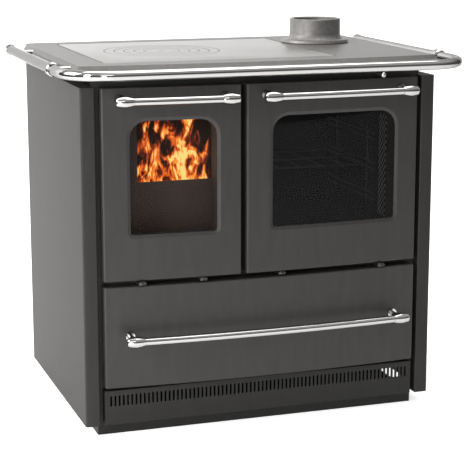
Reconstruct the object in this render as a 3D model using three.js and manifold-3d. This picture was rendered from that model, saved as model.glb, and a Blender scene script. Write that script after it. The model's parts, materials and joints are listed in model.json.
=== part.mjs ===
// A wood-burning cookstove. Millimetres: left is -X, the front is -Y, up is +Z and the floor is z = 0.
// While it is built y = 0 is the front face of the side panels; the group at the end centres the whole.
import * as THREE from "three";
import { mergeVertices } from "three/addons/utils/BufferGeometryUtils.js";
import Module from "manifold-3d";

const wasm = await Module();
wasm.setup();

// Driving dimensions
const GAP = 0.3; // between pieces that rest on each other
const HALF_WIDTH = 430;
const DEPTH = 600;
const BODY_BOTTOM = 30;
const BODY_TOP = 812;
const SHEET = 3;
const RETURN = 33; // how far the side panels turn in across the front
const FASCIA_Y = 25.3;
const FASCIA_HALF = 399.5;
const FASCIA_TOP = 841.7;

const DOOR_GAP = 12.5;
const FACE_HALF = 384.5; // half width of the doors and drawer together
const FACE_EDGE = -6.3; // y of their face at the outer edges
const FACE_RISE = 18; // how much further forward it is in the middle
const FACET = 40;
const PAN_WALL = 3;
const PAN_SKIN = 3.5;
const PAN_REAR = 15;
const DOOR_BOTTOM = 370.3;
const DOOR_TOP = 810.5;
const DOOR_SPLIT = -55.25; // x of the middle of the gap between the doors
const WINDOW_BOTTOM = 468;
const WINDOW_TOP = 743;
const WINDOW_BEVEL = 8;
const WINDOW_SIDE = 54; // least distance from a door's edge to its window
const GLASS = 4;
const DRAWER_BOTTOM = 119.4;
const DRAWER_TOP = 357.5;
const DRAWER_BOX_HALF = 366;
const DRAWER_PLAY = 5; // between the drawer's box and each side of its bay

const HANDLE_STANDOFF = 53;
const HANDLE_R = 9;
const BARREL_R = 13.5;
const BARREL_LENGTH = 40;
const HANDLE_Z = 785;
const DRAWER_HANDLE_Z = 241.4;

const HINGE_Y = -19.5;
const HINGE_Z = 364.5;
const PIN_R = 2.4;

const HOB_TOP = 860;
const HOB_BOTTOM = 842;
const HOB_REAR = 608;
const PLATE = { x0: -358, x1: 198, y0: 59, y1: 546, thick: 8 };
const GROOVE = 4;
const RINGS = { x: -155, y: 302, outer: 140, inner: 92, lid: 44 };
const LAP = 8.4; // how far each ring's ledge reaches under the next
const FLUE = { x: 285, y: 408, outer: 65, bore: 58, flange: 87, top: 921 };

const RAIL_R = 12;
const RAIL_Z = 848;
const RAIL_FRONT = -108;
const RAIL_HALF = 474;
const RAIL_BEND = 105;
const RAIL_JOIN = 75;
const RAIL_POST = 490;
const RAIL_END = 583;

const SHELL = { x0: -352, x1: 392, y1: 562, z0: 360 };
const DIVIDER = -60.5;
const SHELF_Z = 433;
const FIRE_MOUTH = { x0: -365, x1: -81, z0: 384, z1: 760 };
const OVEN = { x0: -7, x1: 350, y1: 480, z0: 430, z1: 770 };
const BAY = { half: DRAWER_BOX_HALF + DRAWER_PLAY, z0: 45, z1: 352 };
const RUNGS = [491, 506.5, 566.5, 582, 641.5, 657];
const KNOB = { x: 283, y: -32, z: 820.5, r: 7.3 };
const SLOTS = { count: 75, pitch: 10, width: 4.5, z0: 74.5, z1: 99 };

// y of the bowed face of the doors and drawer at x
function bow(x) {
  return FACE_EDGE - FACE_RISE * (1 - (x / FACE_HALF) ** 2);
}

function slopeAt(x) {
  return (2 * FACE_RISE * x) / FACE_HALF ** 2;
}

// Solids

function solid(geometry) {
  const bare = new THREE.BufferGeometry();
  const plain = geometry.index ? geometry.toNonIndexed() : geometry;
  bare.setAttribute("position", plain.getAttribute("position"));
  const merged = mergeVertices(bare, 1e-4);
  const index = merged.index.array;
  const kept = [];
  for (let i = 0; i < index.length; i += 3) {
    const [a, b, c] = [index[i], index[i + 1], index[i + 2]];
    if (a !== b && b !== c && c !== a) kept.push(a, b, c);
  }
  const made = (order) =>
    new wasm.Manifold(
      new wasm.Mesh({
        numProp: 3,
        vertProperties: merged.attributes.position.array,
        triVerts: new Uint32Array(order),
      }),
    );
  const first = made(kept);
  return first.volume() > 0 ? first : made(kept.reverse());
}

function joined(...solids) {
  return solids.reduce((a, b) => a.add(b));
}

function cut(body, ...cutters) {
  return cutters.reduce((a, b) => a.subtract(b), body);
}

function box(x0, x1, y0, y1, z0, z1) {
  const g = new THREE.BoxGeometry(x1 - x0, y1 - y0, z1 - z0);
  return solid(g.translate((x0 + x1) / 2, (y0 + y1) / 2, (z0 + z1) / 2));
}

function extruded(points, length, bevel) {
  const shape = new THREE.Shape(points.map(([a, b]) => new THREE.Vector2(a, b)));
  return new THREE.ExtrudeGeometry(shape, {
    depth: length - 2 * bevel,
    steps: 1,
    bevelEnabled: bevel > 0,
    bevelThickness: bevel,
    bevelSize: bevel,
    bevelOffset: -bevel,
    bevelSegments: 2,
  }).translate(0, 0, bevel);
}

// A prism that stands on a plan of [x, y] points
function standing(points, z0, z1, bevel = 0) {
  return solid(extruded(points, z1 - z0, bevel).translate(0, 0, z0));
}

// A prism that runs back from an elevation of [x, z] points
function facing(points, y0, y1, bevel = 0) {
  return solid(extruded(points, y1 - y0, bevel).rotateX(Math.PI / 2).translate(0, y1, 0));
}

// A prism that runs to the right from a side view of [y, z] points
function sideways(points, x0, x1, bevel = 0) {
  const upright = extruded(points, x1 - x0, bevel).rotateX(Math.PI / 2);
  return solid(upright.rotateZ(Math.PI / 2).translate(x0, 0, 0));
}

// A turned solid: [radius, height] points about an axis, "x", "y" or "z", through a place
function turned(profile, axis, place, segments = 24) {
  const g = new THREE.LatheGeometry(profile.map(([r, h]) => new THREE.Vector2(r, h)), segments);
  if (axis === "z") g.rotateX(Math.PI / 2);
  if (axis === "x") g.rotateZ(-Math.PI / 2);
  return solid(g.translate(...place));
}

function rod(r, h0, h1, axis, place, segments = 12) {
  return turned([[0, h0], [r, h0], [r, h1], [0, h1]], axis, place, segments);
}

// A closed skin over rings of points, each ring an array of [x, y, z]
function skinned(rings) {
  const n = rings[0].length;
  const positions = [];
  const face = (...corners) => corners.forEach((p) => positions.push(...p));
  for (let k = 0; k + 1 < rings.length; k++) {
    for (let i = 0; i < n; i++) {
      const j = (i + 1) % n;
      face(rings[k][i], rings[k][j], rings[k + 1][j]);
      face(rings[k][i], rings[k + 1][j], rings[k + 1][i]);
    }
  }
  for (const [ring, first] of [[rings[0], true], [rings.at(-1), false]]) {
    const middle = [0, 1, 2].map((axis) => ring.reduce((sum, p) => sum + p[axis], 0) / n);
    for (let i = 0; i < n; i++) {
      const [a, b] = [ring[i], ring[(i + 1) % n]];
      if (first) face(b, a, middle);
      else face(a, b, middle);
    }
  }
  const g = new THREE.BufferGeometry();
  g.setAttribute("position", new THREE.Float32BufferAttribute(positions, 3));
  return solid(g);
}

// Outlines

function steps(from, to, count) {
  return Array.from({ length: count + 1 }, (_, i) => from + ((to - from) * i) / count);
}

function cornerPoints(cx, cy, r, from, count) {
  return steps(from, from + 90, count).map((deg) => {
    const a = (deg * Math.PI) / 180;
    return [cx + r * Math.cos(a), cy + r * Math.sin(a)];
  });
}

// A rectangle with rounded corners; its long edges are divided so that it can be bowed
function rounded(x0, x1, y0, y1, rLow, rHigh = rLow, facets = 1, corner = 4) {
  const low = steps(x0 + rLow, x1 - rLow, facets).slice(1, -1).map((x) => [x, y0]);
  const high = steps(x1 - rHigh, x0 + rHigh, facets).slice(1, -1).map((x) => [x, y1]);
  return [
    ...cornerPoints(x0 + rLow, y0 + rLow, rLow, 180, corner),
    ...low,
    ...cornerPoints(x1 - rLow, y0 + rLow, rLow, 270, corner),
    ...cornerPoints(x1 - rHigh, y1 - rHigh, rHigh, 0, corner),
    ...high,
    ...cornerPoints(x0 + rHigh, y1 - rHigh, rHigh, 90, corner),
  ];
}

// Plan of a block with the bowed face, set back by inset, and a straight rear
function bowedPlan(x0, x1, rear, inset, r) {
  const count = Math.max(2, Math.ceil((x1 - x0) / FACET));
  const at = (x) => bow(x) + inset;
  const front = steps(x0 + r, x1 - r, count).map((x) => [x, at(x)]);
  const bend = 0.3 * r;
  return [
    [x0, rear],
    [x0, at(x0) + r],
    [x0 + bend, at(x0) + bend],
    ...front,
    [x1 - bend, at(x1) + bend],
    [x1, at(x1) + r],
    [x1, rear],
  ];
}

// A curved sheet that follows the face from x0 to x1
function bowedSheet(x0, x1, z0, z1, inset, thick) {
  const count = Math.max(2, Math.ceil((x1 - x0) / FACET));
  const front = steps(x0, x1, count).map((x) => [x, bow(x) + inset]);
  const back = steps(x1, x0, count).map((x) => [x, bow(x) + inset + thick]);
  return standing([...front, ...back], z0, z1);
}

// A window-shaped plug; each layer has a growth and a function that gives y at x
function windowPlug(w, layers) {
  const facets = Math.ceil((w.x1 - w.x0) / FACET);
  const rings = layers.map(([grow, yAt]) => {
    const [rLow, rHigh] = [w.rLow + grow, w.rHigh + grow];
    const outline = rounded(w.x0 - grow, w.x1 + grow, w.z0 - grow, w.z1 + grow, rLow, rHigh, facets);
    return outline.map(([x, z]) => [x, yAt(x), z]);
  });
  return skinned(rings);
}

const ahead = (distance) => (x) => bow(x) + distance;
const level = (y) => () => y;

// A pan: bowed skin with flanges that run straight back
function pan(x0, x1, z0, z1) {
  const outer = standing(bowedPlan(x0, x1, PAN_REAR, 0, 4), z0, z1, 2.5);
  const inside = bowedPlan(x0 + PAN_WALL, x1 - PAN_WALL, PAN_REAR + 20, PAN_SKIN, 2);
  return cut(outer, standing(inside, z0 + PAN_WALL, z1 - PAN_WALL));
}

// Pieces

const root = new THREE.Group();
const centred = new THREE.Group();
root.add(centred);

const COLOURS = {
  panel_paint: 0x4c4846,
  side_paint: 0x7f7873,
  black_paint: 0x1d1b1a,
  hob_paint: 0x6a6664,
  hob_steel: 0xb8b6b4,
  chrome: 0xd8d8da,
  zinc: 0x9a9a98,
  glass: 0x2a2422,
  refractory: 0x4a3a30,
  cast_iron: 0x2b2725,
  rope: 0x5a5654,
};

function piece(name, slot, body) {
  const mesh = body.getMesh();
  const g = new THREE.BufferGeometry();
  const { numProp, numVert, vertProperties, triVerts } = mesh;
  const positions = new Float32Array(numVert * 3);
  for (let i = 0; i < numVert; i++) {
    positions.set(vertProperties.subarray(i * numProp, i * numProp + 3), i * 3);
  }
  g.setAttribute("position", new THREE.BufferAttribute(positions, 3));
  g.setIndex(new THREE.BufferAttribute(new Uint32Array(triVerts), 1));
  g.computeVertexNormals();
  const metal = slot === "chrome" || slot === "hob_steel" || slot === "zinc";
  const material = new THREE.MeshStandardMaterial({
    color: COLOURS[slot],
    metalness: metal ? 1 : 0,
    roughness: metal ? 0.3 : 0.7,
  });
  material.name = slot;
  const made = new THREE.Mesh(g, material);
  made.name = name;
  centred.add(made);
}

function mirrored(body) {
  return body.mirror([1, 0, 0]);
}

function pair(name, slot, right) {
  piece(name + "_left", slot, mirrored(right));
  piece(name + "_right", slot, right);
}

// Body

const returnEdge = HALF_WIDTH - RETURN;
const bendOut = cornerPoints(HALF_WIDTH - 5, 5, 5, 270, 4);
const sidePlan = [
  [returnEdge, FASCIA_Y - GAP],
  [returnEdge, 1.5],
  [returnEdge + 1.5, 0],
  ...bendOut,
  [HALF_WIDTH, DEPTH],
  [HALF_WIDTH - 18, DEPTH],
  [HALF_WIDTH - 18, DEPTH - SHEET],
  [HALF_WIDTH - SHEET, DEPTH - SHEET],
  [HALF_WIDTH - SHEET, SHEET],
  [returnEdge + SHEET, SHEET],
  [returnEdge + SHEET, FASCIA_Y - GAP],
];
const flangeIn = FASCIA_HALF + 0.5;
const flangeOut = HALF_WIDTH - 1;
const sidePanel = joined(
  standing(sidePlan, BODY_BOTTOM, BODY_TOP),
  box(flangeIn, flangeOut, 1, DEPTH - 1, BODY_TOP - SHEET, BODY_TOP),
);
pair("side_panel", "side_paint", sidePanel);

const backFront = DEPTH - 2 * SHEET;
const backRear = DEPTH - SHEET - GAP;
const backHalf = HALF_WIDTH - 22;
const backTop = BODY_TOP - SHEET - GAP;
const coolingSlot = (x) => box(x - 4, x + 4, backFront - 1, backRear + 1, 740, 770);
const coolingSlots = steps(-300, 300, 15).map(coolingSlot);
const backFlange = box(backHalf - 2, backHalf, backFront - 18, backRear, BODY_BOTTOM, backTop);
const backPanel = joined(
  cut(box(-backHalf, backHalf, backFront, backRear, BODY_BOTTOM, backTop), joined(...coolingSlots)),
  backFlange,
  mirrored(backFlange),
);
piece("back_panel", "black_paint", backPanel);

const fasciaRear = FASCIA_Y + SHEET;
const mouths = [
  rounded(FIRE_MOUTH.x0, FIRE_MOUTH.x1, FIRE_MOUTH.z0, FIRE_MOUTH.z1, 12),
  rounded(OVEN.x0, OVEN.x1, OVEN.z0, OVEN.z1, 12),
  rounded(-BAY.half, BAY.half, BAY.z0, BAY.z1, 6),
].map((outline) => facing(outline, FASCIA_Y - 5, fasciaRear + 5));
const fascia = cut(
  box(-FASCIA_HALF, FASCIA_HALF, FASCIA_Y, fasciaRear, BODY_BOTTOM, FASCIA_TOP),
  ...mouths,
  rod(3 + GAP, 0, 60, "y", [KNOB.x, 0, KNOB.z], 16),
);
piece("front_frame", "black_paint", fascia);

const trayTop = BODY_BOTTOM - GAP;
const trayHalf = 396;
const trayFront = FASCIA_Y + 1;
const trayRear = DEPTH - 20;
const tray = cut(
  box(-trayHalf, trayHalf, trayFront, trayRear, 0, trayTop),
  box(-trayHalf + 2, trayHalf - 2, trayFront + 2, trayRear - 2, -1, trayTop - 2),
);
piece("base_tray", "panel_paint", tray);

const ventTop = DRAWER_BOTTOM - 7.4;
const ventSlots = steps(0, SLOTS.count - 1, SLOTS.count - 1).map((i) => {
  const x = (i - (SLOTS.count - 1) / 2) * SLOTS.pitch;
  return box(x - SLOTS.width / 2, x + SLOTS.width / 2, -1, 5, SLOTS.z0, SLOTS.z1);
});
const ventPanel = cut(
  box(-FACE_HALF, FACE_HALF, 0, FASCIA_Y - GAP, BODY_BOTTOM, ventTop),
  box(-FACE_HALF + 2.5, FACE_HALF - 2.5, 2.5, FASCIA_Y + 1, BODY_BOTTOM + 2.5, ventTop - 2.5),
  joined(...ventSlots),
);
piece("vent_panel", "panel_paint", ventPanel);

const bracketBase = BODY_BOTTOM;
const bracket = joined(
  box(262, 326, 44, 46.5, bracketBase, 74),
  box(262, 326, 44, 84, bracketBase, bracketBase + 2.5),
);
piece("vent_bracket", "zinc", bracket);

const shellFront = fasciaRear + GAP;
const wall = SHEET;
const shellHollow = box(
  SHELL.x0 + wall,
  SHELL.x1 - wall,
  shellFront - 1,
  SHELL.y1 - wall,
  SHELL.z0 + wall,
  HOB_BOTTOM + 1,
);
const grateHole = { x0: -270, x1: -110, y0: 90, y1: 400 };
const shellShelf = cut(
  box(SHELL.x0 + 1, DIVIDER, shellFront, SHELL.y1 - 1, SHELF_Z - wall, SHELF_Z),
  box(grateHole.x0, grateHole.x1, grateHole.y0, grateHole.y1, SHELF_Z - 9, SHELF_Z + 9),
);
const shell = joined(
  cut(box(SHELL.x0, SHELL.x1, shellFront, SHELL.y1, SHELL.z0, FASCIA_TOP), shellHollow),
  shellShelf,
  box(DIVIDER - wall / 2, DIVIDER + wall / 2, shellFront, SHELL.y1 - 41, SHELL.z0 + 1, OVEN.z1 - 70),
);
piece("body_shell", "black_paint", shell);

// Firebox

const guardFront = 56;
const brickFront = 60 + GAP;
const brickBase = SHELF_Z + GAP;
const brickTop = 740;
const brickLeft = { x0: SHELL.x0 + wall + GAP, x1: -285 };
const brickRight = { x0: -94, x1: DIVIDER - wall / 2 - GAP };
const BRICK_REAR = 490;
const brick = (x0, x1, y0, y1) => standing(rounded(x0, x1, y0, y1, 2, 2, 1, 1), brickBase, brickTop, 1);
piece("firebrick_left", "refractory", brick(brickLeft.x0, brickLeft.x1, brickFront, BRICK_REAR));
piece("firebrick_right", "refractory", brick(brickRight.x0, brickRight.x1, brickFront, BRICK_REAR));
const rearBrick = brick(brickLeft.x0, brickRight.x1, BRICK_REAR + GAP, BRICK_REAR + 30);
piece("firebrick_rear", "refractory", rearBrick);

const grateSlots = steps(0, 8, 8).map((i) => {
  const y = grateHole.y0 + 15 + i * 34;
  return box(grateHole.x0 + 15, grateHole.x1 - 15, y, y + 12, brickBase - 1, brickBase + 20);
});
const grateLedge = 8;
const grateOutline = rounded(
  grateHole.x0 - grateLedge,
  grateHole.x1 + grateLedge,
  grateHole.y0 - grateLedge,
  grateHole.y1 + grateLedge,
  6,
  6,
  1,
  2,
);
piece("fire_grate", "cast_iron", cut(standing(grateOutline, brickBase, brickBase + 12), ...grateSlots));

const guardSpan = [SHELL.x0 + wall + GAP, DIVIDER - wall / 2 - GAP];
const guardTop = 584;
piece("log_guard", "cast_iron", box(...guardSpan, guardFront, guardFront + 4, brickBase, guardTop));

const ashBase = SHELL.z0 + wall + GAP;
const ashPan = joined(
  cut(box(-340, -90, 70, 470, ashBase, ashBase + 50), box(-338, -92, 72, 468, ashBase + 2, ashBase + 60)),
  box(-250, -180, 50, 71, ashBase + 30, ashBase + 34),
);
piece("ash_pan", "zinc", ashPan);

// Oven

const ovenWall = 2;
const ovenShell = box(
  OVEN.x0 - ovenWall,
  OVEN.x1 + ovenWall,
  shellFront,
  OVEN.y1 + ovenWall,
  OVEN.z0 - ovenWall,
  OVEN.z1 + ovenWall,
);
const ovenBox = cut(ovenShell, box(OVEN.x0, OVEN.x1, 0, OVEN.y1, OVEN.z0, OVEN.z1));
piece("oven_box", "black_paint", ovenBox);
piece("oven_side_strip", "zinc", box(OVEN.x1 - 2, OVEN.x1 - GAP, 92, 133, 458, 706));

const WIRE_R = 2.5;
const ladderX = OVEN.x1 - GAP - WIRE_R;
const uprightSpan = [RUNGS[0] - 12, RUNGS.at(-1) + 12];
const uprights = [200, 400].map((y) => rod(WIRE_R, ...uprightSpan, "z", [ladderX, y, 0], 6));
const rungs = RUNGS.map((z) => rod(WIRE_R, 142, 450, "y", [ladderX - 3, 0, z], 6));
const ladder = joined(...uprights, ...rungs);
const ovenMiddle = (OVEN.x0 + OVEN.x1) / 2;
piece("oven_ladder_right", "chrome", ladder);
piece("oven_ladder_left", "chrome", mirrored(ladder).translate([2 * ovenMiddle, 0, 0]));

const rackZ = RUNGS[2] + WIRE_R + GAP + 3;
const rackHalf = ladderX - 3 - ovenMiddle;
const rackWires = steps(-1, 1, 6).map((t) => {
  return rod(2, 203, 447, "y", [ovenMiddle + t * (rackHalf - 2), 0, rackZ], 6);
});
const rackBars = [205, 325, 445].map((y) => rod(3, -rackHalf, rackHalf, "x", [ovenMiddle, y, rackZ], 6));
piece("oven_rack", "chrome", joined(...rackWires, ...rackBars));

function gasket(mouth) {
  const inner = rounded(mouth.x0 - 3, mouth.x1 + 3, mouth.z0 - 3, mouth.z1 + 3, 14);
  const outer = rounded(mouth.x0 - 13, mouth.x1 + 13, mouth.z0 - 10, mouth.z1 + 13, 20);
  const [front, rear] = [PAN_REAR + 1 + GAP, FASCIA_Y - GAP];
  return cut(facing(outer, front, rear), facing(inner, front - 5, rear + 5));
}
piece("firebox_gasket", "rope", gasket(FIRE_MOUTH));
piece("oven_gasket", "rope", gasket(OVEN));

// Doors

function handle(name, x0, x1, z) {
  const reach = BARREL_LENGTH / 2;
  const barFrom = x0 + BARREL_LENGTH + GAP;
  const barTo = x1 - BARREL_LENGTH - GAP;
  const count = Math.ceil((barTo - barFrom) / FACET);
  const bar = steps(barFrom, barTo, count).map((x) =>
    steps(0, 15, 15).map((i) => {
      const a = (i * Math.PI) / 8;
      const out = HANDLE_R * Math.cos(a);
      return [x - slopeAt(x) * out, bow(x) - HANDLE_STANDOFF + out, z + HANDLE_R * Math.sin(a)];
    }),
  );
  piece(name + "_bar", "chrome", skinned(bar));
  for (const [side, x] of [["left", x0 + reach], ["right", x1 - reach]]) {
    const face = bow(x);
    const centre = face - HANDLE_STANDOFF;
    const barrel = [
      [0, -reach],
      [8, -reach],
      [10.5, -reach + 2.5],
      [BARREL_R - 1, -8],
      [BARREL_R, 0],
      [BARREL_R - 1, 8],
      [10.5, reach - 2.5],
      [9.5, reach],
      [0, reach],
    ];
    const inward = side === "left" ? barrel : barrel.map(([r, h]) => [r, -h]).reverse();
    const turn = (Math.atan(slopeAt(x)) * 180) / Math.PI;
    const body = turned(inward, "x", [0, 0, 0], 20).rotate([0, 0, turn]).translate([x, centre, z]);
    const post = rod(6, centre, face + 4, "y", [x, 0, z], 12);
    const rosette = rod(11, face - 4, face + 4, "y", [x, 0, z], 16);
    const behind = bowedPlan(x - 30, x + 30, 40, -GAP, 0.1);
    piece(
      name + "_end_" + side,
      "chrome",
      cut(joined(body, post, rosette), standing(behind, z - 30, z + 30)),
    );
  }
}

const TONGUE = { from: 0.5, to: 9.5 };

function door(name, x0, x1, handleEnds, hinges, windowRight) {
  const w = {
    x0: x0 + WINDOW_SIDE + WINDOW_BEVEL + 2.2,
    x1: windowRight - WINDOW_BEVEL,
    z0: WINDOW_BOTTOM + WINDOW_BEVEL,
    z1: WINDOW_TOP - WINDOW_BEVEL,
    rLow: 8,
    rHigh: 38,
  };
  const opening = windowPlug(w, [
    [WINDOW_BEVEL, ahead(-20)],
    [WINDOW_BEVEL, ahead(-0.05)],
    [0, ahead(PAN_SKIN)],
    [0, ahead(PAN_SKIN + 6)],
  ]);
  let panel = cut(pan(x0, x1, DOOR_BOTTOM, DOOR_TOP), opening);
  for (const [side, x] of hinges) {
    const [a, b] = [x + TONGUE.from, x + TONGUE.to];
    const outline = [
      [HINGE_Y, HINGE_Z - 4],
      [HINGE_Y + 4, HINGE_Z],
      [3, HINGE_Z + 1.5],
      [3, DOOR_BOTTOM + 2],
      [-3, DOOR_BOTTOM + 2],
      [-5, DOOR_BOTTOM - 1.5],
      [HINGE_Y, HINGE_Z + 4],
    ];
    const tongue = sideways(outline, a, b);
    const knuckle = rod(4.2, a, b, "x", [0, HINGE_Y, HINGE_Z], 12);
    const bore = rod(PIN_R + GAP, a - 1, b + 1, "x", [0, HINGE_Y, HINGE_Z], 12);
    panel = cut(joined(panel, tongue, knuckle), bore);
    const fixed = joined(
      box(x - 12, x + 12, FASCIA_Y - GAP - SHEET, FASCIA_Y - GAP, HINGE_Z - 10, HINGE_Z + 5),
      box(x - 6, x, HINGE_Y, FASCIA_Y - GAP - 1, HINGE_Z - 4, HINGE_Z + 1.5),
      rod(4.2, x - 6, x, "x", [0, HINGE_Y, HINGE_Z], 12),
      rod(PIN_R, x - 1, x + 11, "x", [0, HINGE_Y, HINGE_Z], 12),
    );
    piece(name + "_hinge_" + side, "zinc", fixed);
  }
  piece(name + "_door_panel", "panel_paint", panel);

  const margin = PAN_WALL + GAP;
  const plate = facing(
    rounded(x0 + margin, x1 - margin, DOOR_BOTTOM + margin, DOOR_TOP - margin, 3, 3, 1, 1),
    PAN_REAR - 2,
    PAN_REAR + 1,
  );
  const glassBack = PAN_SKIN + GAP + GLASS;
  const rim = windowPlug(w, [[5, ahead(glassBack + GAP)], [5, level(PAN_REAR - 1)]]);
  const through = windowPlug(w, [[2, ahead(0)], [2, level(PAN_REAR + 5)]]);
  piece(name + "_door_liner", "black_paint", cut(joined(plate, rim), through));
  piece(
    name + "_door_glass",
    "glass",
    bowedSheet(w.x0 - 12, w.x1 + 12, w.z0 - 12, w.z1 + 12, PAN_SKIN + GAP, GLASS),
  );
  handle(name + "_handle", ...handleEnds, HANDLE_Z);
}

const fireRight = DOOR_SPLIT - DOOR_GAP / 2;
const ovenLeft = DOOR_SPLIT + DOOR_GAP / 2;
const fireHandle = [-FACE_HALF + 21.1, fireRight - 21.1];
const fireHinges = [["left", -FACE_HALF + 84.5], ["right", fireRight - 93.5]];
door("fire", -FACE_HALF, fireRight, fireHandle, fireHinges, fireRight - 49.2);
const ovenHandle = [ovenLeft + 25.7, FACE_HALF - 25.8];
const ovenHinges = [["left", ovenLeft + 86], ["right", FACE_HALF - 95.5]];
door("oven", ovenLeft, FACE_HALF, ovenHandle, ovenHinges, FACE_HALF - 50.6);

// Drawer

piece("drawer_front", "panel_paint", pan(-FACE_HALF, FACE_HALF, DRAWER_BOTTOM, DRAWER_TOP));
const boxFront = PAN_REAR + GAP;
const drawerBase = 130;
const drawerTop = 330;
const drawerRear = 500;
const drawerBox = cut(
  joined(
    box(-FACE_HALF + 1.5, FACE_HALF - 1.5, boxFront, boxFront + 2, DRAWER_BOTTOM + 1.5, DRAWER_TOP - 1.5),
    box(-DRAWER_BOX_HALF, DRAWER_BOX_HALF, boxFront + 1, drawerRear, drawerBase, drawerTop),
  ),
  box(
    -DRAWER_BOX_HALF + 2,
    DRAWER_BOX_HALF - 2,
    boxFront + 2,
    drawerRear - 2,
    drawerBase + 2,
    drawerTop + 1,
  ),
);
piece("drawer_box", "zinc", drawerBox);
handle("drawer_handle", -346, 346, DRAWER_HANDLE_Z);

const runnerOut = BAY.half + 4;
const runner = joined(
  box(runnerOut - 2, runnerOut, shellFront, backFront - GAP, drawerBase - GAP - 2, drawerBase + 45),
  box(runnerOut - 30, runnerOut, shellFront, backFront - GAP, drawerBase - GAP - 2, drawerBase - GAP),
);
pair("drawer_runner", "zinc", runner);

// Hob

function frameRing(z, half, rear, inset) {
  const rFront = 6;
  const rRear = 18;
  const at = (x) => bow(x) + inset;
  const front = steps(-half + rFront, half - rFront, 22).map((x) => [x, at(x)]);
  const plan = [
    ...cornerPoints(-half + rRear, rear - rRear, rRear, 90, 4),
    ...cornerPoints(-half + rFront, at(half) + rFront, rFront, 180, 2).slice(0, -1),
    ...front,
    ...cornerPoints(half - rFront, at(half) + rFront, rFront, 270, 2).slice(1),
    ...cornerPoints(half - rRear, rear - rRear, rRear, 0, 4),
  ];
  return plan.map(([x, y]) => [x, y, z]);
}

function frameBlock(grow) {
  const half = HALF_WIDTH + 6 + grow;
  return skinned([
    frameRing(HOB_BOTTOM, half - 2, HOB_REAR, -18 - grow),
    frameRing(HOB_BOTTOM + 2, half, HOB_REAR, -20 - grow),
    frameRing(HOB_BOTTOM + 7, half, HOB_REAR, -20 - grow),
    frameRing(HOB_TOP - 9.5, half - 1.5, HOB_REAR, -17 - grow),
    frameRing(HOB_TOP - 8.5, half - 3, HOB_REAR, -5 - grow),
    frameRing(HOB_TOP, half - 6, HOB_REAR, 4.3 - grow),
  ]);
}

const plateBase = HOB_TOP - PLATE.thick;
function plateOutline(grow) {
  const corner = 3 + Math.max(grow, 0);
  const across = [PLATE.x0 - grow, PLATE.x1 + grow];
  return rounded(...across, PLATE.y0 - grow, PLATE.y1 + grow, corner, corner, 1, 2);
}
const hobFrame = cut(
  frameBlock(0),
  standing(plateOutline(GROOVE), plateBase - GAP, HOB_TOP + 5),
  standing(plateOutline(-6), HOB_BOTTOM - 5, HOB_TOP),
  rod(FLUE.bore, HOB_BOTTOM - 5, HOB_TOP + 5, "z", [FLUE.x, FLUE.y, 0], 32),
);
piece("hob_frame", "hob_paint", hobFrame);

const ringPlace = [RINGS.x, RINGS.y, 0];
const ringMiddle = plateBase + PLATE.thick / 2;
const hobPlate = cut(
  standing(plateOutline(0), plateBase, HOB_TOP, 0.8),
  rod(RINGS.outer + 0.4, ringMiddle - GAP, HOB_TOP + 5, "z", ringPlace, 40),
  rod(RINGS.outer - LAP + 0.4, plateBase - 5, HOB_TOP, "z", ringPlace, 40),
);
piece("hob_plate", "hob_steel", hobPlate);

// A ring whose outer rim rests on the piece around it and whose ledge carries the piece inside it
function ring(outer, inner) {
  const middle = (outer + inner) / 2;
  return turned(
    [
      [inner - LAP, plateBase],
      [outer - LAP, plateBase],
      [outer - LAP, ringMiddle],
      [outer, ringMiddle],
      [outer, HOB_TOP],
      [middle + 1, HOB_TOP],
      [middle, HOB_TOP - 1.2],
      [middle - 1, HOB_TOP],
      [inner + 0.4, HOB_TOP],
      [inner + 0.4, ringMiddle - GAP],
      [inner - LAP, ringMiddle - GAP],
      [inner - LAP, plateBase],
    ],
    "z",
    ringPlace,
    40,
  );
}
piece("hob_ring_outer", "hob_steel", ring(RINGS.outer, RINGS.inner));
piece("hob_ring_inner", "hob_steel", ring(RINGS.inner, RINGS.lid));
const lidProfile = [
  [0, plateBase],
  [RINGS.lid - LAP, plateBase],
  [RINGS.lid - LAP, ringMiddle],
  [RINGS.lid, ringMiddle],
  [RINGS.lid, HOB_TOP],
  [0, HOB_TOP],
];
const liftSlot = box(RINGS.x - 8, RINGS.x + 8, RINGS.y - 3, RINGS.y + 3, HOB_TOP - 4, HOB_TOP + 4);
piece("hob_lid", "hob_steel", cut(turned(lidProfile, "z", ringPlace, 40), liftSlot));

const collarBase = HOB_TOP + GAP;
const collar = turned(
  [
    [FLUE.bore, collarBase],
    [FLUE.flange - 1, collarBase],
    [FLUE.flange, collarBase + 2],
    [FLUE.flange - 2, collarBase + 8],
    [FLUE.outer + 6, collarBase + 10],
    [FLUE.outer + 1, collarBase + 16],
    [FLUE.outer, collarBase + 22],
    [FLUE.outer, FLUE.top - 1],
    [FLUE.outer - 1, FLUE.top],
    [FLUE.bore + 2, FLUE.top],
    [FLUE.bore, FLUE.top - 2],
    [FLUE.bore, collarBase],
  ],
  "z",
  [FLUE.x, FLUE.y, 0],
  36,
);
piece("flue_collar", "cast_iron", collar);

// Towel rail

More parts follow.
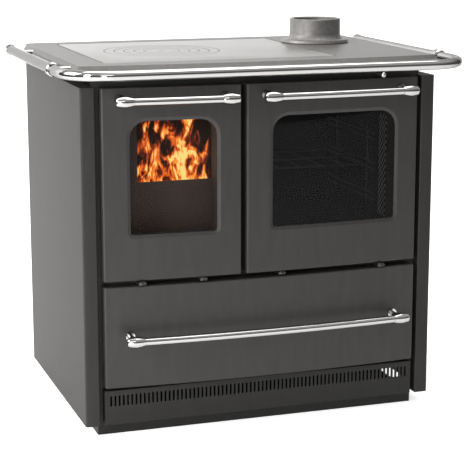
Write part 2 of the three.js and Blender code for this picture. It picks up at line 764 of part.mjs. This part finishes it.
const collarHalf = 13;
const legEnd = RAIL_JOIN - collarHalf - GAP;
const bendCentre = RAIL_FRONT + RAIL_BEND;
const bendX = RAIL_HALF - RAIL_BEND;
const railPath = [
  [-RAIL_HALF, legEnd, 180],
  ...steps(180, 270, 8).map((deg) => {
    const a = (deg * Math.PI) / 180;
    return [-bendX + RAIL_BEND * Math.cos(a), bendCentre + RAIL_BEND * Math.sin(a), deg];
  }),
  ...steps(270, 360, 8).map((deg) => {
    const a = (deg * Math.PI) / 180;
    return [bendX + RAIL_BEND * Math.cos(a), bendCentre + RAIL_BEND * Math.sin(a), deg];
  }),
  [RAIL_HALF, legEnd, 360],
];
const railRings = railPath.map(([x, y, deg]) => {
  const a = (deg * Math.PI) / 180;
  return steps(0, 19, 19).map((i) => {
    const b = (i * Math.PI) / 10;
    const out = RAIL_R * Math.cos(b);
    return [x + out * Math.cos(a), y + out * Math.sin(a), RAIL_Z + RAIL_R * Math.sin(b)];
  });
});
piece("rail_front", "chrome", skinned(railRings));

const sideStart = RAIL_JOIN + collarHalf + GAP;
const sideTube = turned(
  [
    [0, sideStart],
    [RAIL_R, sideStart],
    [RAIL_R, RAIL_END - 16],
    [RAIL_R + 2, RAIL_END - 15],
    [RAIL_R + 2, RAIL_END - 9],
    [RAIL_R - 1, RAIL_END - 4],
    [RAIL_R - 6, RAIL_END],
    [0, RAIL_END],
  ],
  "y",
  [RAIL_HALF, 0, RAIL_Z],
  20,
);
pair("rail_side", "chrome", sideTube);

const seat = frameBlock(GAP);
const postFrom = HALF_WIDTH;
const railCollar = cut(
  joined(
    turned(
      [
        [0, -collarHalf],
        [RAIL_R + 1.5, -collarHalf],
        [RAIL_R + 4, -collarHalf + 3],
        [RAIL_R + 4, collarHalf - 3],
        [RAIL_R + 1.5, collarHalf],
        [0, collarHalf],
      ],
      "y",
      [RAIL_HALF, RAIL_JOIN, RAIL_Z],
      20,
    ),
    rod(6, postFrom, RAIL_HALF, "x", [0, RAIL_JOIN, RAIL_Z]),
  ),
  seat,
);
pair("rail_collar", "chrome", railCollar);
const railPost = cut(
  rod(6, postFrom, RAIL_HALF, "x", [0, RAIL_POST, RAIL_Z]),
  seat,
  rod(RAIL_R + GAP, RAIL_POST - 20, RAIL_POST + 20, "y", [RAIL_HALF, 0, RAIL_Z], 20),
);
pair("rail_post", "chrome", railPost);

// Bypass damper

const knobProfile = steps(-90, 90, 8).map((deg) => {
  const a = (deg * Math.PI) / 180;
  return [Math.abs(deg) === 90 ? 0 : KNOB.r * Math.cos(a), KNOB.r * Math.sin(a)];
});
piece("damper_knob", "chrome", turned(knobProfile, "y", [KNOB.x, KNOB.y, KNOB.z], 16));
const rodFrom = KNOB.y + KNOB.r + GAP;
const rodTo = 330;
piece("damper_rod", "zinc", rod(3, rodFrom, rodTo, "y", [KNOB.x, 0, KNOB.z], 12));
const lugFrom = rodTo + GAP;
const damperPlate = joined(
  box(FLUE.x - 67, FLUE.x + 67, lugFrom, FLUE.y + 66, KNOB.z + 5, KNOB.z + 8),
  box(FLUE.x - 12, FLUE.x + 12, lugFrom, lugFrom + 3, KNOB.z - 5, KNOB.z + 6),
);
piece("damper_plate", "cast_iron", damperPlate);

// The origin is the middle of the bounding box's bottom
centred.position.y = -(RAIL_FRONT - RAIL_R + HOB_REAR) / 2;

export default root;
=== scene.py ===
"""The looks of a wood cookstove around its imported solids: finishes, fire, studio and camera. Metres."""

import json
import math
import random

import bpy
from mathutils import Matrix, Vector


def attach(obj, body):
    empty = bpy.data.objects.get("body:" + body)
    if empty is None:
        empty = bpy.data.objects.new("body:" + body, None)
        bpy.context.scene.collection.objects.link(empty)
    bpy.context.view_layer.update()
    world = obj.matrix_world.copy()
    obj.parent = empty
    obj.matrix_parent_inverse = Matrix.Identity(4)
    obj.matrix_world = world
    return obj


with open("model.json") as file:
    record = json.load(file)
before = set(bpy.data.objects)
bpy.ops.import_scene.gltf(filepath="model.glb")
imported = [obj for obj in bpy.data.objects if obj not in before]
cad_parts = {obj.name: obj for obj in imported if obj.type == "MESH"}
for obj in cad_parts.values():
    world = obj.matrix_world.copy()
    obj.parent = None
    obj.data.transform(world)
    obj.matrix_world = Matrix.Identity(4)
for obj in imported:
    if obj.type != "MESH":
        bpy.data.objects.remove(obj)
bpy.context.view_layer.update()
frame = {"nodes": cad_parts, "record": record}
nodes = frame["nodes"]
CENTRE_Y = 0.244  # from the front of the side panels back to the part's y = 0


# Materials


def new_material(name):
    """A material with an empty Principled shader, its nodes and its links."""
    material = bpy.data.materials.new(name)
    material.use_nodes = True
    tree = material.node_tree
    return material, tree, tree.nodes["Principled BSDF"]


def plain(name, rgb, roughness, metallic=0.0, **sockets):
    """A finish that is the same all over."""
    material, _, shader = new_material(name)
    shader.inputs["Base Color"].default_value = (*rgb, 1)
    shader.inputs["Roughness"].default_value = roughness
    shader.inputs["Metallic"].default_value = metallic
    for socket, value in sockets.items():
        shader.inputs[socket.replace("_", " ")].default_value = value
    return material


def noise(tree, scale, stretch, detail):
    """A noise texture that follows the solids, stretched per axis."""
    where = tree.nodes.new("ShaderNodeTexCoord")
    mapping = tree.nodes.new("ShaderNodeMapping")
    mapping.inputs["Scale"].default_value = stretch
    texture = tree.nodes.new("ShaderNodeTexNoise")
    texture.inputs["Scale"].default_value = scale
    texture.inputs["Detail"].default_value = detail
    tree.links.new(where.outputs["Object"], mapping.inputs["Vector"])
    tree.links.new(mapping.outputs["Vector"], texture.inputs["Vector"])
    return texture


def math_node(tree, operation, a, b=0.0, clamp=False):
    """A math node over two sockets or numbers."""
    node = tree.nodes.new("ShaderNodeMath")
    node.operation = operation
    node.use_clamp = clamp
    for socket, value in zip(node.inputs, (a, b)):
        if isinstance(value, (int, float)):
            socket.default_value = value
        else:
            tree.links.new(value, socket)
    return node.outputs[0]


def ramp(tree, factor, stops):
    """A colour ramp over factor, with stops of (position, rgb)."""
    node = tree.nodes.new("ShaderNodeValToRGB")
    elements = node.color_ramp.elements
    while len(elements) < len(stops):
        elements.new(0.5)
    for element, (position, rgb) in zip(elements, stops):
        element.position = position
        element.color = (*rgb, 1)
    tree.links.new(factor, node.inputs["Fac"])
    return node


def bumped(tree, shader, texture, strength, distance):
    """Gives shader a bump from a texture's first output."""
    bump = tree.nodes.new("ShaderNodeBump")
    bump.inputs["Strength"].default_value = strength
    bump.inputs["Distance"].default_value = distance
    tree.links.new(texture.outputs[0], bump.inputs["Height"])
    tree.links.new(bump.outputs["Normal"], shader.inputs["Normal"])


def mottled(name, dark, light, roughness, metallic, scale, stretch, bump=0.0, depth=0.0002, gloss=0.5):
    """A finish whose colour drifts a little between two tones."""
    material, tree, shader = new_material(name)
    texture = noise(tree, scale, stretch, 4.0)
    tones = ramp(tree, texture.outputs[0], [(0.3, dark), (0.7, light)])
    tree.links.new(tones.outputs["Color"], shader.inputs["Base Color"])
    shader.inputs["Roughness"].default_value = roughness
    shader.inputs["Metallic"].default_value = metallic
    shader.inputs["Specular IOR Level"].default_value = gloss
    if bump:
        bumped(tree, shader, texture, bump, depth)
    return material


def grey(value, warmth=0.0):
    """A grey with a little more red and less blue."""
    return (value * (1 + warmth), value, value * (1 - warmth))


def woven(name):
    """The punched strip beside the oven: small light and dark squares."""
    material, tree, shader = new_material(name)
    where = tree.nodes.new("ShaderNodeTexCoord")
    checks = tree.nodes.new("ShaderNodeTexChecker")
    checks.inputs["Scale"].default_value = 130
    checks.inputs["Color1"].default_value = (*grey(0.02), 1)
    checks.inputs["Color2"].default_value = (*grey(0.8), 1)
    tree.links.new(where.outputs["Object"], checks.inputs["Vector"])
    tree.links.new(checks.outputs["Color"], shader.inputs["Base Color"])
    shader.inputs["Roughness"].default_value = 0.45
    shader.inputs["Metallic"].default_value = 0.6
    return material


def smoked_glass(name, tint, opacity):
    """Heat-proof glass: a dark film that lets part of what is behind it through."""
    material = plain(name, tint, 0.02, Specular_IOR_Level=0.16)
    material.node_tree.nodes["Principled BSDF"].inputs["Alpha"].default_value = opacity
    return material


RING_SHADE_RADII = (0.044, 0.068, 0.092, 0.116, 0.140)  # radii of the rings and of the grooves between them, where dark lines of painted shade are drawn
SHADE_LINE_HALF = 0.0016  # half the width of each painted shade line


def steel_with_painted_ring_shade(name, centre):
    """Ground steel with dark lines of painted shade at the edges and grooves of the cooking rings, round a
    centre given in the piece's own axes.
    """
    material, tree, shader = new_material(name)
    grain = noise(tree, 34, (0.25, 7, 1), 4.0)
    tones = ramp(tree, grain.outputs[0], [(0.3, grey(0.3, 0.03)), (0.7, grey(0.42, 0.03))])
    where = tree.nodes.new("ShaderNodeTexCoord")
    split = tree.nodes.new("ShaderNodeSeparateXYZ")
    tree.links.new(where.outputs["Object"], split.inputs[0])
    across = math_node(tree, "SUBTRACT", split.outputs["X"], centre[0])
    along = math_node(tree, "SUBTRACT", split.outputs["Y"], centre[1])
    across_squared = math_node(tree, "POWER", across, 2.0)
    along_squared = math_node(tree, "POWER", along, 2.0)
    radius = math_node(tree, "SQRT", math_node(tree, "ADD", across_squared, along_squared))
    shade_line = None
    for shade_radius in RING_SHADE_RADII:
        off = math_node(tree, "ABSOLUTE", math_node(tree, "SUBTRACT", radius, shade_radius))
        near = math_node(tree, "LESS_THAN", off, SHADE_LINE_HALF)
        shade_line = near if shade_line is None else math_node(tree, "MAXIMUM", shade_line, near)
    # The dark lines are painted shade at the gaps between the rings and in their grooves.
    mixed = tree.nodes.new("ShaderNodeMix")
    mixed.data_type = "RGBA"
    tree.links.new(shade_line, mixed.inputs["Factor"])
    tree.links.new(tones.outputs["Color"], mixed.inputs["A"])
    mixed.inputs["B"].default_value = (*grey(0.03), 1)
    tree.links.new(mixed.outputs["Result"], shader.inputs["Base Color"])
    shader.inputs["Roughness"].default_value = 0.34
    shader.inputs["Metallic"].default_value = 1.0
    shader.inputs["Specular Tint"].default_value = (*grey(0.78), 1)
    bumped(tree, shader, grain, 0.05, 0.0002)
    return material


UPRIGHT = (1, 1, 0.2)  # grain drawn out up and down
EVEN = (1, 1, 1)


def paint(name, dark, light, roughness, gloss):
    """Painted sheet steel with a faint upright unevenness."""
    tones = (grey(dark, 0.07), grey(light, 0.07))
    return mottled(name, *tones, roughness, 0.1, 60, UPRIGHT, 0.15, gloss=gloss)


def cast_paint(name, dark, light, warmth, roughness, metallic, bump, gloss):
    """Painted cast iron with a fine even grain."""
    tones = (grey(dark, warmth), grey(light, warmth))
    return mottled(name, *tones, roughness, metallic, 90, EVEN, bump, gloss=gloss)


FINISHES = {
    "panel_paint": paint("panel paint", 0.03, 0.036, 0.4, 0.32),
    # The side panels take a darker, rougher copy of the panel paint: painted shade on the sides.
    "side_paint": paint("side paint darkened as painted shade", 0.024, 0.029, 0.52, 0.22),
    "black_paint": plain("black paint", grey(0.018, 0.03), 0.6),
    "hob_paint": cast_paint("hob paint", 0.078, 0.095, 0.06, 0.45, 0.2, 0.15, 0.4),
    "chrome": plain("chrome", grey(0.48, 0.02), 0.1, 1.0, Specular_Tint=(0.4, 0.4, 0.4, 1)),
    "zinc": mottled("zinc", grey(0.42), grey(0.6), 0.35, 1.0, 30, EVEN),
    "glass": smoked_glass("oven glass", grey(0.005), 0.5),
    "refractory": mottled(
        "firebrick", (0.05, 0.034, 0.025), (0.1, 0.068, 0.05), 0.9, 0.0, 25, EVEN, 0.4, 0.001
    ),
    "cast_iron": mottled(
        "cast iron", grey(0.05, 0.05), grey(0.08, 0.05), 0.6, 0.4, 120, EVEN, 0.3, 0.0003
    ),
    "rope": mottled("rope", grey(0.1), grey(0.35), 0.9, 0.0, 300, EVEN, 0.6, 0.001),
}
flue_iron = cast_paint("flue iron", 0.15, 0.2, 0.04, 0.48, 0.5, 0.2, 0.5)
# The vent panel and base take a darker copy of the panel paint: painted shade low down and set back under
# the drawer.
plinth_shade_tones = (grey(0.017, 0.05), grey(0.021, 0.05))
shaded_plinth_paint = mottled("plinth paint darkened as painted shade", *plinth_shade_tones, 0.5, 0.1, 60, UPRIGHT, 0.15, gloss=0.25)
# Dark steel for the hinges; on the zinc bracket behind the vent slots the same dark grey is painted shade.
hinge_steel_and_bracket_shade = plain("hinge steel", grey(0.12), 0.4, 0.9)
brown_plate = plain("baffle", (0.036, 0.019, 0.014), 0.7)
# The oven's inside and its wire are darker than the black paint and the chrome: painted shade inside the
# closed oven.
oven_enamel_with_painted_shade = plain("oven enamel darkened as painted shade", grey(0.008), 0.5)
oven_wire_with_painted_shade = plain("oven wire darkened as painted shade", grey(0.16), 0.35, 1.0)
OWN_FINISH = {
    "fire_door_glass": smoked_glass("fire glass", (0.012, 0.008, 0.006), 0.12),
    # The oven box, rack and ladders carry painted shade.
    "oven_box": oven_enamel_with_painted_shade,
    "oven_rack": oven_wire_with_painted_shade,
    "oven_ladder_left": oven_wire_with_painted_shade,
    "oven_ladder_right": oven_wire_with_painted_shade,
    # The zinc bracket is given the dark hinge steel: painted shade behind the vent slots.
    "vent_bracket": hinge_steel_and_bracket_shade,
    "oven_side_strip": woven("punched strip"),
    "flue_collar": flue_iron,
    "log_guard": brown_plate,
    "firebrick_left": brown_plate,
    # Darker plinth paint here is painted shade.
    "vent_panel": shaded_plinth_paint,
    "base_tray": shaded_plinth_paint,
    "fire_hinge_left": hinge_steel_and_bracket_shade,
    "fire_hinge_right": hinge_steel_and_bracket_shade,
    "oven_hinge_left": hinge_steel_and_bracket_shade,
    "oven_hinge_right": hinge_steel_and_bracket_shade,
}
EDGE_WIDTHS = {"panel_paint": 0.0018, "hob_paint": 0.0008, "hob_steel": 0.0008}  # of the rounded edges
EDGE_ANGLE = 40  # edges sharper than this are rounded
SMOOTH_ANGLE = 32  # edges sharper than this stay sharp
PANEL_SMOOTH_ANGLE = 14  # low, so that the bevels of the windows stay crisp
WELD_DISTANCE = 0.00001


def smooth_by_angle(degrees):
    """A node group that shades smooth, apart from edges sharper than an angle."""
    group = bpy.data.node_groups.new("smooth by angle", "GeometryNodeTree")
    group.interface.new_socket("Geometry", in_out="INPUT", socket_type="NodeSocketGeometry")
    group.interface.new_socket("Geometry", in_out="OUTPUT", socket_type="NodeSocketGeometry")
    start = group.nodes.new("NodeGroupInput")
    end = group.nodes.new("NodeGroupOutput")
    faces = group.nodes.new("GeometryNodeSetShadeSmooth")
    edges = group.nodes.new("GeometryNodeSetShadeSmooth")
    edges.domain = "EDGE"
    edges.inputs["Shade Smooth"].default_value = False
    angle = group.nodes.new("GeometryNodeInputMeshEdgeAngle")
    sharp = group.nodes.new("FunctionNodeCompare")
    sharp.operation = "GREATER_THAN"
    sharp.inputs[1].default_value = math.radians(degrees)
    group.links.new(angle.outputs["Unsigned Angle"], sharp.inputs[0])
    group.links.new(sharp.outputs[0], edges.inputs["Selection"])
    group.links.new(start.outputs[0], faces.inputs["Geometry"])
    group.links.new(faces.outputs[0], edges.inputs["Geometry"])
    group.links.new(edges.outputs[0], end.inputs[0])
    return group


lid = nodes["hob_lid"]
ring_centre = sum((lid.matrix_world @ Vector(corner) for corner in lid.bound_box), Vector()) / 8
for name in ("hob_plate", "hob_ring_outer", "hob_ring_inner", "hob_lid"):
    OWN_FINISH[name] = steel_with_painted_ring_shade(name + " steel", nodes[name].matrix_world.inverted() @ ring_centre)

smoothing = smooth_by_angle(SMOOTH_ANGLE)
panel_smoothing = smooth_by_angle(PANEL_SMOOTH_ANGLE)
for entry in frame["record"]["subparts"]:
    name, slot = entry["node"], entry["material_slot"]
    shown = nodes[name]
    shown.data.materials.clear()
    shown.data.materials.append(OWN_FINISH[name] if name in OWN_FINISH else FINISHES[slot])
    weld = shown.modifiers.new("weld", "WELD")
    weld.merge_threshold = WELD_DISTANCE
    smooth = shown.modifiers.new("smooth", "NODES")
    smooth.node_group = panel_smoothing if slot == "panel_paint" else smoothing
    if slot in EDGE_WIDTHS:
        bevel = shown.modifiers.new("edges", "BEVEL")
        bevel.width = EDGE_WIDTHS[slot]
        bevel.segments = 2
        bevel.limit_method = "ANGLE"
        bevel.angle_limit = math.radians(EDGE_ANGLE)
        bevel.harden_normals = True


# The fire: a sheet of flame and split logs behind the guard


def new_mesh(name, vertices, faces, material):
    """A mesh object of one material."""
    mesh = bpy.data.meshes.new(name)
    mesh.from_pydata(vertices, [], faces)
    mesh.materials.append(material)
    made = bpy.data.objects.new(name, mesh)
    bpy.context.collection.objects.link(made)
    return made


def mesh_object(name, vertices, faces, material, body):
    """A mesh that rides on a body."""
    made = new_mesh(name, vertices, faces, material)
    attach(made, body)


def flame_material(name, seed, strength):
    """Tongues of flame that rise and fade, on black."""
    material, tree, shader = new_material(name)
    where = tree.nodes.new("ShaderNodeTexCoord")
    split = tree.nodes.new("ShaderNodeSeparateXYZ")
    tree.links.new(where.outputs["Generated"], split.inputs[0])
    x, z = split.outputs["X"], split.outputs["Z"]

    def field(across, up, detail, shift):
        join = tree.nodes.new("ShaderNodeCombineXYZ")
        tree.links.new(math_node(tree, "MULTIPLY", x, across), join.inputs[0])
        tree.links.new(math_node(tree, "MULTIPLY", z, up), join.inputs[1])
        join.inputs[2].default_value = seed + shift
        texture = tree.nodes.new("ShaderNodeTexNoise")
        texture.inputs["Scale"].default_value = 1.0
        texture.inputs["Detail"].default_value = detail
        texture.inputs["Distortion"].default_value = 1.6
        tree.links.new(join.outputs[0], texture.inputs["Vector"])
        return texture.outputs[0]

    tongues = field(5.0, 1.9, 3.0, 0.0)
    threads = field(11.0, 3.4, 5.0, 7.0)
    ridge = math_node(tree, "ABSOLUTE", math_node(tree, "SUBTRACT", threads, 0.5))
    thread = math_node(tree, "SUBTRACT", 1.0, math_node(tree, "MULTIPLY", ridge, 9.0), True)
    rise = math_node(tree, "MULTIPLY", z, 0.14)
    edge = math_node(tree, "ABSOLUTE", math_node(tree, "SUBTRACT", x, 0.52))
    spread = math_node(tree, "MULTIPLY", math_node(tree, "POWER", edge, 2.0), 0.5)
    body = math_node(tree, "SUBTRACT", math_node(tree, "SUBTRACT", tongues, rise), spread)
    lifted = math_node(tree, "MULTIPLY", math_node(tree, "SUBTRACT", body, 0.3), 3.0, True)
    bright = math_node(tree, "MULTIPLY", thread, math_node(tree, "MULTIPLY", lifted, 0.8))
    heat = math_node(tree, "ADD", lifted, bright)
    colours = ramp(
        tree,
        heat,
        [
            (0.05, (0.006, 0.002, 0.001)),
            (0.3, (0.12, 0.015, 0.003)),
            (0.52, (0.75, 0.1, 0.012)),
            (0.74, (1.0, 0.3, 0.03)),
            (0.97, (1.0, 0.72, 0.22)),
        ],
    )
    shader.inputs["Base Color"].default_value = (0, 0, 0, 1)
    shader.inputs["Roughness"].default_value = 1.0
    tree.links.new(colours.outputs["Color"], shader.inputs["Emission Color"])
    shader.inputs["Emission Strength"].default_value = strength
    return material


def at(x, y, z):
    """A point from millimetres, with y from the front of the side panels."""
    return Vector((x / 1000, y / 1000 - CENTRE_Y, z / 1000))


FLAME_LEFT, FLAME_RIGHT, FLAME_FOOT, FLAME_TOP = -284, -95, 560, 735
FLAME_Y = 100
flames = flame_material("flames", 3.7, 1.25)
corners = [
    at(FLAME_LEFT, FLAME_Y, FLAME_FOOT),
    at(FLAME_RIGHT, FLAME_Y, FLAME_FOOT),
    at(FLAME_RIGHT, FLAME_Y, FLAME_TOP),
    at(FLAME_LEFT, FLAME_Y, FLAME_TOP),
]
mesh_object("flames", corners, [(0, 1, 2, 3)], flames, "body")

bark_tones = ((0.012, 0.008, 0.006), (0.05, 0.03, 0.02))
bark = mottled("charred bark", *bark_tones, 0.95, 0.0, 40, EVEN, 0.8, 0.003)
rng = random.Random(5)


def log(name, start, end, radius):
    """A rough split log between two points."""
    along = end - start
    side = along.orthogonal().normalized()
    other = along.cross(side).normalized()
    rings, around = 6, 9
    vertices = []
    for i in range(rings):
        middle = start + along * (i / (rings - 1))
        for k in range(around):
            angle = 2 * math.pi * k / around
            r = radius * (0.85 + 0.25 * rng.random())
            vertices.append(middle + side * (r * math.cos(angle)) + other * (r * math.sin(angle)))
    faces = [tuple(reversed(range(around))), tuple(range((rings - 1) * around, rings * around))]
    for i in range(rings - 1):
        for k in range(around):
            a, b = i * around + k, i * around + (k + 1) % around
            faces.append((a, b, b + around, a + around))
    mesh_object(name, vertices, faces, bark, "body")


log("log_low", at(-255, 140, 480), at(-225, 430, 480), 0.03)
log("log_middle", at(-185, 140, 478), at(-165, 430, 478), 0.028)
log("log_right", at(-122, 130, 480), at(-128, 420, 480), 0.022)
log("log_top", at(-215, 150, 530), at(-190, 430, 527), 0.026)


# Studio: a white sweep that glows for the camera and can be looked through from behind


def stage_mesh(name, vertices, faces, material):
    """A mesh of one material that rides on no body."""
    made = new_mesh(name, vertices, faces, material)


SWEEP_GLOW = 0.66
MIRRORED_GLOW = 0.75  # the share of it that reflections see
sweep_paint, sweep_tree, sweep_shader = new_material("studio white")
sweep_shader.inputs["Base Color"].default_value = (0.8, 0.8, 0.8, 1)
sweep_shader.inputs["Roughness"].default_value = 1.0
sweep_shader.inputs["Specular IOR Level"].default_value = 0.0
sweep_shader.inputs["Emission Color"].default_value = (1, 1, 1, 1)
path = sweep_tree.nodes.new("ShaderNodeLightPath")
straight = (path.outputs["Is Camera Ray"], path.outputs["Is Transmission Ray"])
direct = math_node(sweep_tree, "MAXIMUM", *straight)
mirrored = math_node(sweep_tree, "MULTIPLY", path.outputs["Is Glossy Ray"], MIRRORED_GLOW)
glowing = math_node(sweep_tree, "MAXIMUM", direct, mirrored)
glow = math_node(sweep_tree, "MULTIPLY", glowing, SWEEP_GLOW)
sweep_tree.links.new(glow, sweep_shader.inputs["Emission Strength"])
facing = sweep_tree.nodes.new("ShaderNodeNewGeometry")
open_back = sweep_tree.nodes.new("ShaderNodeBsdfTransparent")
one_sided = sweep_tree.nodes.new("ShaderNodeMixShader")
sweep_tree.links.new(facing.outputs["Backfacing"], one_sided.inputs["Fac"])
sweep_tree.links.new(sweep_shader.outputs[0], one_sided.inputs[1])
sweep_tree.links.new(open_back.outputs[0], one_sided.inputs[2])
sweep_tree.links.new(one_sided.outputs[0], sweep_tree.nodes["Material Output"].inputs["Surface"])

FLOOR_FRONT, FLOOR_REAR = -5.0, 1.3
BEND_RADIUS, BEND_STEPS = 0.7, 8
WALL_TOP = 2.4
SWEEP_SIDES = (-2.4, 3.8)
profile = [(FLOOR_FRONT, 0.0), (FLOOR_REAR, 0.0)]
for step in range(1, BEND_STEPS + 1):
    angle = math.radians(90 * step / BEND_STEPS)
    y = FLOOR_REAR + BEND_RADIUS * math.sin(angle)
    profile.append((y, BEND_RADIUS - BEND_RADIUS * math.cos(angle)))
profile.append((FLOOR_REAR + BEND_RADIUS, WALL_TOP))
sweep_vertices = [(x, y, z) for y, z in profile for x in SWEEP_SIDES]
sweep_faces = [(2 * i, 2 * i + 1, 2 * i + 3, 2 * i + 2) for i in range(len(profile) - 1)]
stage_mesh("sweep", sweep_vertices, sweep_faces, sweep_paint)


def softbox(name, place, target, width, height, watts):
    """An area light aimed at a point."""
    light = bpy.data.lights.new(name, "AREA")
    light.shape = "RECTANGLE"
    light.size = width
    light.size_y = height
    light.energy = watts
    lamp = bpy.data.objects.new(name, light)
    lamp.location = place
    lamp.rotation_euler = (Vector(target) - Vector(place)).to_track_quat("-Z", "Y").to_euler()
    bpy.context.collection.objects.link(lamp)


softbox("left", (-3.0, 0.4, 2.3), (-0.4, 0.0, 0.9), 1.8, 1.8, 110)
softbox("strip", (-2.7, -1.8, 1.2), (0.0, -0.3, 0.6), 0.5, 2.2, 75)
softbox("low", (-1.35, -3.1, 0.5), (0.0, -0.3, 0.5), 0.4, 0.9, 16)
softbox("top", (0.2, 0.1, 3.0), (0.1, 0.0, 0.8), 2.6, 2.0, 55)
softbox("front", (-1.2, -3.6, 2.6), (0.0, -0.2, 0.5), 1.6, 1.2, 11)

SKY_STRENGTH = 0.8
SKY_TONES = ((0.0, 0.5), (0.5, 0.12), (0.62, 0.2), (0.8, 0.75))  # from below to overhead
world = bpy.data.worlds.new("studio")
world.use_nodes = True
bpy.context.scene.world = world
sky = world.node_tree
where = sky.nodes.new("ShaderNodeTexCoord")
axes = sky.nodes.new("ShaderNodeSeparateXYZ")
sky.links.new(where.outputs["Generated"], axes.inputs[0])
height = math_node(sky, "MULTIPLY", math_node(sky, "ADD", axes.outputs["Z"], 1.0), 0.5)
tones = ramp(sky, height, [(position, grey(value)) for position, value in SKY_TONES])
lit = sky.nodes["Background"]
sky.links.new(tones.outputs["Color"], lit.inputs["Color"])
lit.inputs["Strength"].default_value = SKY_STRENGTH
backdrop = sky.nodes.new("ShaderNodeBackground")
backdrop.inputs["Color"].default_value = (1, 1, 1, 1)
rays = sky.nodes.new("ShaderNodeLightPath")
seen = math_node(sky, "MAXIMUM", rays.outputs["Is Camera Ray"], rays.outputs["Is Transmission Ray"])
either = sky.nodes.new("ShaderNodeMixShader")
sky.links.new(seen, either.inputs["Fac"])
sky.links.new(lit.outputs[0], either.inputs[1])
sky.links.new(backdrop.outputs[0], either.inputs[2])
sky.links.new(either.outputs[0], sky.nodes["World Output"].inputs["Surface"])


# Camera

PHOTO_WIDTH = 471.0
FOCAL_PIXELS = 1558.9
CAMERA_PLACE = (-1199.6, -3342.1, 1213.6)  # in the axes of at()
YAW = 18.7  # turned to the right
PITCH = 11.7  # and down
lens = bpy.data.cameras.new("camera")
lens.sensor_fit = "HORIZONTAL"
lens.sensor_width = 36.0
lens.lens = FOCAL_PIXELS / PHOTO_WIDTH * lens.sensor_width
camera = bpy.data.objects.new("camera", lens)
camera.location = at(*CAMERA_PLACE)
camera.rotation_euler = (math.radians(90 - PITCH), 0, math.radians(-YAW))
bpy.context.collection.objects.link(camera)
bpy.context.scene.camera = camera
bpy.context.scene.view_settings.view_transform = "Standard"
